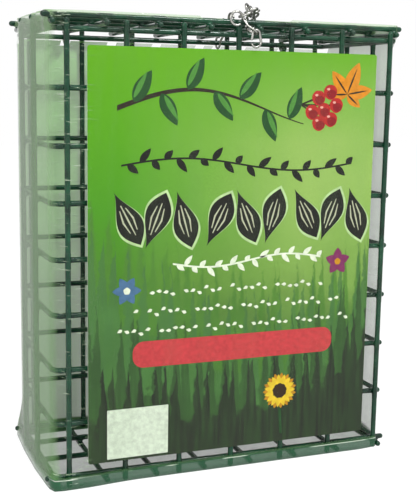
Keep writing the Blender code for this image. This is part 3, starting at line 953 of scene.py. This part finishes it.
def printed_layers():
    """All that is printed on the board: each layer's name, outlines, level and ink."""
    gold, violet, blue = (101, 27), (132, 93), (19, 84)
    stem = [(100.2, 22), (101.8, 22), (103, 4), (101.6, 4)]
    yield from seed_row()
    yield from sprigs()
    yield from leafy_twig()
    yield "bare_band", [rounded_box(22, 45.8, 130, 58.8, 5.5)], 4, "ink_band_red"
    yield "millet_grains", millet(), 5, "ink_cream_white"
    yield "petals_behind", petals(*gold, 9.6, 4.2, 12, 24), 5, "ink_gold"
    yield "flower_petals", petals(*gold, 8.8, 3.6, 0, 24), 6, "ink_yellow"
    yield "flower_heart", [bumpy(*gold, 3.9, 3.9, 9, 0.04)], 7, "ink_brown"
    yield "violet_petals", petals(*violet, 7.2, 5.0, 18, 72), 5, "ink_violet"
    yield "violet_heart", [bumpy(*violet, 1.7, 1.7, 5, 0.05)], 6, "ink_gold"
    yield "blue_petals", petals(*blue, 7.2, 4.4, 0, 60), 5, "ink_blue"
    yield "blue_heart", [bumpy(*blue, 1.7, 1.7, 5, 0.05)], 6, "ink_cream_white"
    yield "flower_stems", [stem], 4, "ink_leaf_green"
    yield "bare_panel", [rounded_box(9.3, 1.3, 40.4, 26.0, 0.3)], 4, "ink_panel_white"


class SUETFEEDER_OT_card(bpy.types.Operator):
    """Prints the card with a plain meadow, seeds, leaves and berries"""

    bl_idname = "suet_feeder.card"
    bl_label = "Card"
    bl_options = {"REGISTER", "UNDO"}

    def execute(self, context):
        low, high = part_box("printed_card")
        outline = rounded_box(0, 0, (high.x - low.x) / MM, (high.z - low.z) / MM, 1.2)
        front = [(low.x + x * MM, low.y, low.z + z * MM) for x, z in outline]
        back = [(x, high.y, z) for x, _, z in front]
        count = len(front)
        faces = [tuple(range(count)), tuple(reversed(range(count, 2 * count)))]
        for index in range(count):
            after = (index + 1) % count
            faces.append((index, index + count, after + count, after))
        print_side = finish("offset_printed_card", printed_board)
        board = sheet("card_board", front + back, faces, print_side, smooth=False)
        board.data.materials.append(finish("raw_card_edge", cut_edge))
        board.data.polygons.foreach_set("material_index", [0] + [1] * (count + 1))
        place(board, "cage", ["printed_card"])
        tones = {name: linear(code) for name, code in INKS.items()}
        tones["ink_band_red"] = tuple(context.scene.suet_feeder_colours.band)
        step = context.scene.suet_feeder_sizes.ink_step
        for name, outlines, level, tone in printed_layers():
            colour = finish(tone, ink, tone, tones[tone])
            self.print_layer(name, outlines, low, level * step, colour)
        return {"FINISHED"}

    def print_layer(self, name, outlines, corner, level, material):
        """Flat shapes in one ink, all facing the front."""
        points, faces = [], []
        for outline in outlines:
            start = len(points)
            # Shapes of one ink that overlap lie a hair apart
            y = corner.y - level - (start % 13) * 0.001 * MM
            points += [(corner.x + x * MM, y, corner.z + z * MM) for x, z in outline]
            pairs = zip(outline, outline[1:] + outline[:1])
            area = sum(a[0] * b[1] - b[0] * a[1] for a, b in pairs)
            order = range(start, len(points))
            faces.append(tuple(order if area > 0 else reversed(order)))
        place(sheet(name, points, faces, material, smooth=False), "cage", [])


def hull(points):
    """The taut outline round a set of points in a plane, anticlockwise."""
    ordered = sorted(points)

    def half(way):
        made = []
        for point in way:
            while len(made) > 1:
                (ax, ay), (bx, by) = made[-2:]
                if (bx - ax) * (point[1] - ay) - (by - ay) * (point[0] - ax) > 0:
                    break
                made.pop()
            made.append(point)
        return made[:-1]

    return half(ordered) + half(ordered[::-1])


def film_ring(sizes, spacing):
    """The shrunk film seen from above: it runs straight from wire to wire and over the card's
    edges. Gives points about a spacing apart, each with the way that it faces."""
    wire, bend, slack = sizes.wire_diameter / 2, sizes.corner_radius, 0.18 * MM
    low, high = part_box("hoop_1")
    inset = flat_reach(wire) + bend
    pegs = [
        (x, y, bend + wire + slack)
        for x in (low.x + inset, high.x - inset)
        for y in (low.y + inset, high.y - inset)
    ]
    for side, count in UPRIGHT_COUNTS.items():
        pegs += [(*middle(node).xy, wire + slack) for node in numbered(f"{side}_upright", count)]
    card_low, card_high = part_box("printed_card")
    pegs += [(x, card_low.y, 2 * slack) for x in (card_low.x, card_high.x)]
    circle = [(math.cos(turn), math.sin(turn)) for turn in [math.tau * t / 32 for t in range(32)]]
    edge = hull([(x + reach * a, y + reach * b) for x, y, reach in pegs for a, b in circle])
    made = []
    for here, after in zip(edge, edge[1:] + edge[:1]):
        here, after = Vector(here), Vector(after)
        count = max(1, round((after - here).length / spacing))
        made += [here.lerp(after, index / count) for index in range(count)]
    around = zip(made[-1:] + made[:-1], made[1:] + made[:1])
    ways = [(after - before).normalized() for before, after in around]
    return [(point, Vector((way.y, -way.x))) for point, way in zip(made, ways)]


def ease(share):
    """A smooth step from 0 to 1."""
    share = min(1, max(0, share))
    return (3 - 2 * share) * share**2


def film_tops(ring, hinge):
    """How high the film stands round its ring. It stands as high as the lid at the sides and the
    front. It is cut down round the chain's end, and along the back, where the lid's edge swings
    down behind the hinge."""
    full_top, notch_foot = hinge.z + 7.7 * MM, hinge.z - 7.2 * MM
    back_top = hinge.z - FILM_BACK_DROP
    wire_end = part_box("lid_cross_wire_1")[1].x
    notch = (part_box("chain_link_8")[0].x - 6 * MM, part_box("chain_clip")[1].x + 6 * MM)
    tops = []
    for point, way in ring:
        foot, share = full_top, 1
        if point.y > hinge.y - 9 * MM:
            foot = back_top
            share = ease((abs(point.x) - wire_end + 0.1 * MM) / (0.7 * MM))
        elif way.y < -0.99:
            foot = notch_foot
            share = ease(max(notch[0] - point.x, point.x - notch[1], 0) / (9 * MM))
        tops.append(foot + (full_top - foot) * share)
    return tops


def film_wall(sizes, ring, tops, rows):
    """The film's four sides as rows of points from its foot to its top."""
    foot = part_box("film_sleeve")[0].z
    hinge_z = frame["joints"][0]["pos_m"][2]
    wire_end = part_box("lid_cross_wire_1")[1].x
    lid_corner = Vector((wire_end, middle("lid_cross_wire_1").y))
    room_x, room_y = CAD_BOX[1][0], min(-CAD_BOX[0][1], CAD_BOX[1][1])
    room_x, room_y = room_x - 0.12 * MM, room_y - 0.12 * MM
    points = []
    for row in range(rows + 1):
        for (point, way), top in zip(ring, tops):
            x, y, z = point.x, point.y, foot + (top - foot) * row / rows
            ripple = noise.noise(Vector((x / (9 * MM), y / (9 * MM), z / (46 * MM))))
            shift = Vector((7, 3, 1))
            crease = noise.noise(Vector((x / (4 * MM), y / (4 * MM), z / (13 * MM))) + shift)
            near_end = math.exp(-((z - foot) / (14 * MM))) + math.exp(-((top - z) / (12 * MM)))
            creased = 1 + 4.0 * near_end * (abs(way.y) < 0.99)
            push = sizes.film_ripple * (0.5 * ripple + 0.3 * crease * creased)
            push = max(-0.1 * MM, push)
            # It bulges over the ends of the lid's front wire
            away = (Vector((abs(x), y)) - lid_corner).length
            bulge = 2.5 * MM * math.exp(-((away / (4.6 * MM)) ** 2))
            push += bulge * ease((z - hinge_z + 5 * MM) / (7 * MM))
            # Its last two millimetres turn in over the side
            if abs(way.x) > 0.98 and abs(x) > wire_end + 2 * MM:
                push -= max(0, 1 - (top - z) / (2.4 * MM)) ** 2 * 1.3 * MM
            # Its left foot is drawn out square, round the ends of the floor's wires
            spare_x = (room_x - abs(x)) / max(abs(way.x), 1e-6)
            spare_y = (room_y - abs(y)) / max(abs(way.y), 1e-6)
            low_left = ease((24 * MM - z) / (22 * MM)) * ease((-x - 45 * MM) / (42 * MM))
            push += (min(spare_x, spare_y) - push) * 0.7 * low_left
            points.append((x + way.x * push, y + way.y * push, z))
    return points


def film_tucks(ring, hinge, start):
    """The film's back edge tucked in under the hinge wire, between the wires that turn there."""
    back_y, back_top = max(point.y for point, _ in ring), hinge.z - FILM_BACK_DROP
    stops = [middle(node).x for node in numbered("lid_rod", LID_ROD_COUNT)]
    stops = sorted([*stops, frame["joints"][1]["pos_m"][0]])
    margin, steps = 2.5 * MM, 4
    points, faces = [], []
    for left, right in zip(stops, stops[1:]):
        left, right = left + margin, right - margin
        across = max(2, round((right - left) / (2 * MM)))
        first = start + len(points)
        for step in range(steps + 1):
            share = step / steps
            y = back_y + (hinge.y + 0.9 * MM - back_y) * share
            z = back_top + 2.45 * MM * share
            for index in range(across + 1):
                x = left + (right - left) * index / across
                waved = wander((x, z, y), 0.2 * MM, 4 * MM) * (1 - share)
                points.append((x, y + wander((x, y, z), 0.25 * MM, 5 * MM), z + waved))
        for step in range(steps):
            for index in range(across):
                here = first + step * (across + 1) + index
                faces.append((here, here + across + 1, here + across + 2, here + 1))
    return points, faces


def wrapped_film(sizes, material):
    """The film round the cage's four sides and under its floor."""
    hinge = Vector(frame["joints"][0]["pos_m"])
    ring = film_ring(sizes, 3 * MM)
    tops = film_tops(ring, hinge)
    rows, count = 76, len(ring)
    points = film_wall(sizes, ring, tops, rows)
    faces = []
    for row in range(rows):
        for index in range(count):
            here, after = row * count + index, row * count + (index + 1) % count
            faces.append((here, after, after + count, here + count))
    # Under the floor it is drawn flat
    foot, inset, ground = len(points), 0.5 * MM, 0.06 * MM
    edge = zip(points, ring)
    points += [(x - way.x * inset, y - way.y * inset, ground) for (x, y, _), (_, way) in edge]
    for index in range(count):
        after = (index + 1) % count
        faces.append((foot + index, foot + after, after, index))
    faces.append(tuple(range(foot, foot + count))[::-1])
    tuck_points, tuck_faces = film_tucks(ring, hinge, len(points))
    return sheet("shrunk_film", points + tuck_points, faces + tuck_faces, material)


def lid_sheet(material):
    """The film's top. It lies over the lid's wires, swings with them, hangs over their ends and is
    open round the chain where that dips through."""
    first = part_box("lid_cross_wire_1")
    rest, outer = first[1].z + 0.1 * MM, first[1].x
    front, back = first[0].y + 0.2 * MM, middle("lid_cross_wire_4").y + 0.8 * MM
    margin = Vector((1.5 * MM, 1.5 * MM))
    holes = []
    for node in [*numbered("chain_link", len(LINK_DIPS)), "chain_clip"]:
        low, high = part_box(node)
        if low.z < rest + 0.1 * MM:
            holes.append((*(low.xy - margin), *(high.xy + margin)))
    wires = [middle(node).y for node in numbered("lid_cross_wire", LID_CROSS_COUNT)]
    pitch = wires[1] - wires[0]

    def lines(start, stop, step, edges):
        even = np.arange(start, stop, step)
        even = [spot for spot in even if all(abs(spot - edge) > step / 2 for edge in edges)]
        return sorted({*even, start, stop, *(edge for edge in edges if start < edge < stop)})

    # Places across the sheet, each with how far its rim hangs down there
    rim = ((0.3 * MM, 3.0 * MM), (0.3 * MM, 1.3 * MM), (0.15 * MM, 0.5 * MM), (-0.3 * MM, 0.1 * MM))
    sides = [edge for hole in holes for edge in hole[0::2]]
    level = lines(1 * MM - outer, outer - 1 * MM, 2 * MM, sides)
    columns = [(-outer - reach, drop) for reach, drop in rim] + [(x, 0.0) for x in level]
    columns += [(outer + reach, drop) for reach, drop in rim[::-1]]
    ends = [edge for hole in holes for edge in hole[1::2]]
    rows = [(front - 0.1 * MM, 1.2 * MM), (front, 0.4 * MM)]
    rows += [(y, 0.0) for y in lines(front + 0.6 * MM, back, 1.5 * MM, ends)]
    points, faces, spots = [], [], {}

    def spot(column, row):
        if (column, row) not in spots:
            (x, side_drop), (y, front_drop) = columns[column], rows[row]
            sag = math.sin(math.pi * (y - wires[0]) / pitch) ** 2 * 0.7 * MM
            crease = 0.35 * MM * noise.noise(Vector((x / (16 * MM), y / (5 * MM), 3.7)))
            crease = min(0, crease * min(1, sag / (0.3 * MM)))
            spots[column, row] = len(points)
            points.append((x, y, rest - sag - side_drop - front_drop + crease))
        return spots[column, row]

    for column in range(len(columns) - 1):
        for row in range(len(rows) - 1):
            x = (columns[column][0] + columns[column + 1][0]) / 2
            y = (rows[row][0] + rows[row + 1][0]) / 2
            if any(west < x < east and south < y < north for west, south, east, north in holes):
                continue
            corners = ((column, row), (column + 1, row), (column + 1, row + 1), (column, row + 1))
            faces.append(tuple(spot(*corner) for corner in corners))
    return sheet("film_over_lid", points, faces, material)


class SUETFEEDER_OT_film(bpy.types.Operator):
    """Wraps the cage's four sides, its foot and the lid in clear shrunk film"""

    bl_idname = "suet_feeder.film"
    bl_label = "Film"
    bl_options = {"REGISTER", "UNDO"}

    def execute(self, context):
        film = finish("shrunk_polyolefin_film", shrink_film)
        sleeve = wrapped_film(context.scene.suet_feeder_sizes, film)
        place(sleeve, "cage", ["film_sleeve"])
        place(lid_sheet(film), "lid", [])
        return {"FINISHED"}


def through_camera(tree):
    """1 where the eye looks straight, in a mirror or through the film, and 0 for other light."""
    path = add(tree, "LightPath", out=None).outputs
    seen = {0: path["Is Camera Ray"], 1: path["Is Glossy Ray"]}
    seen = {0: add(tree, "Math", seen, operation="MAXIMUM"), 1: path["Is Transmission Ray"]}
    return add(tree, "Math", seen, operation="MAXIMUM")


def pale_floor():
    """Matt white paper sweep. It shows as plain white and keeps a soft contact shadow."""
    material, tree, shader = start_material("matt_white_paper_sweep")
    feed(tree, shader, {"Base Color": (*linear("F2F2F0"), 1), "Roughness": 0.9})
    white = add(tree, "Emission", {"Color": (1, 1, 1, 1), "Strength": 1.16})
    share = add(tree, "Math", {0: through_camera(tree), 1: 0.8}, operation="MULTIPLY")
    mixed = add(tree, "MixShader", {0: share, 1: shader.outputs[0], 2: white})
    feed(tree, tree.nodes["Material Output"], {"Surface": mixed})
    return material


class SUETFEEDER_OT_stage(bpy.types.Operator):
    """Sets the pale floor, the soft lamps and the camera"""

    bl_idname = "suet_feeder.stage"
    bl_label = "Stage"
    bl_options = {"REGISTER", "UNDO"}

    def execute(self, context):
        scene = context.scene
        half = 3.0
        corners = [(-half, -half, 0), (half, -half, 0), (half, half, 0), (-half, half, 0)]
        floor = sheet("floor_sweep", corners, [(0, 1, 2, 3)], pale_floor(), smooth=False)
        scene.collection.objects.link(floor)
        world = bpy.data.worlds.new("soft_studio")
        world.use_nodes = True
        tree = world.node_tree
        tree.nodes.clear()
        room = add(tree, "Background", {"Color": (0.9, 0.92, 0.9, 1), "Strength": 0.38})
        white = add(tree, "Background", {"Color": (1, 1, 1, 1), "Strength": 1.0})
        mixed = add(tree, "MixShader", {0: through_camera(tree), 1: room, 2: white})
        add(tree, "OutputWorld", {"Surface": mixed}, out=None, is_active_output=True)
        scene.world = world
        scene.view_settings.view_transform = "Standard"
        # Each lamp's place and size in metres and its power in watts
        aim = Vector((0, 0, 0.12))
        for name, spot, size, power in (
            ("key_lamp", (0.42, -0.75, 1.1), 0.2, 8.4),
            ("overhead_softbox", (-0.1, -0.3, 1.2), 0.4, 4.0),
            ("front_left_softbox", (-0.95, -0.95, 0.7), 0.6, 5.0),
            ("right_fill", (1.1, -0.9, 0.5), 0.9, 0.8),
        ):
            lamp = bpy.data.lights.new(name, "AREA")
            lamp.size = size
            lamp.energy = power
            holder = bpy.data.objects.new(name, lamp)
            holder.location = spot
            holder.rotation_euler = (aim - Vector(spot)).to_track_quat("-Z", "Y").to_euler()
            scene.collection.objects.link(holder)
        self.aim_camera(scene)
        return {"FINISHED"}

    def aim_camera(self, scene):
        """The photograph's viewpoint: a little to the left and above, tilted slightly down."""
        place_m = (-0.18719, -0.4763, 0.18774)
        yaw, pitch, roll = math.radians(21.79), math.radians(9.08), math.radians(-0.96)
        focal_pixels, picture_pixels = 974.8, 500
        level = Vector((math.cos(yaw), -math.sin(yaw), 0))
        ahead = Vector((math.sin(yaw), math.cos(yaw), 0)) * math.cos(pitch)
        ahead.z = -math.sin(pitch)
        down = ahead.cross(level)
        right = level * math.cos(roll) + down * math.sin(roll)
        low = -level * math.sin(roll) + down * math.cos(roll)
        eye = bpy.data.cameras.new("photo_camera")
        eye.sensor_width = 36
        eye.lens = focal_pixels * eye.sensor_width / picture_pixels
        eye.clip_start = 0.01
        camera = bpy.data.objects.new("photo_camera", eye)
        turn = Matrix((right, -low, -ahead)).transposed().to_4x4()
        camera.matrix_world = Matrix.Translation(place_m) @ turn
        scene.collection.objects.link(camera)
        scene.camera = camera


OPERATORS = (
    SUETFEEDER_OT_stage,
    SUETFEEDER_OT_cage_wires,
    SUETFEEDER_OT_lid_wires,
    SUETFEEDER_OT_welds,
    SUETFEEDER_OT_chain,
    SUETFEEDER_OT_card,
    SUETFEEDER_OT_film,
)


class SUETFEEDER_PT_panel(bpy.types.Panel):
    """Lists the feeder's sizes, colours and steps"""

    bl_idname = "SUETFEEDER_PT_panel"
    bl_label = "Suet feeder"
    bl_space_type = "VIEW_3D"
    bl_region_type = "UI"
    bl_category = "Feeder"

    def draw(self, context):
        for group in (context.scene.suet_feeder_sizes, context.scene.suet_feeder_colours):
            for name in group.__annotations__:
                self.layout.prop(group, name)
        for operator in OPERATORS:
            self.layout.operator(operator.bl_idname)


CLASSES = (SuetFeederSizes, SuetFeederColours, *OPERATORS, SUETFEEDER_PT_panel)


def register():
    for item in CLASSES:
        bpy.utils.register_class(item)
    bpy.types.Scene.suet_feeder_sizes = bpy.props.PointerProperty(type=SuetFeederSizes)
    bpy.types.Scene.suet_feeder_colours = bpy.props.PointerProperty(type=SuetFeederColours)


def unregister():
    del bpy.types.Scene.suet_feeder_colours
    del bpy.types.Scene.suet_feeder_sizes
    for item in reversed(CLASSES):
        bpy.utils.unregister_class(item)


def main():
    register()
    bpy.ops.suet_feeder.stage()
    bpy.ops.suet_feeder.cage_wires()
    bpy.ops.suet_feeder.lid_wires()
    bpy.ops.suet_feeder.welds()
    bpy.ops.suet_feeder.chain()
    bpy.ops.suet_feeder.card()
    bpy.ops.suet_feeder.film()
    bpy.context.view_layer.update()


if __name__ == "__main__":
    main()
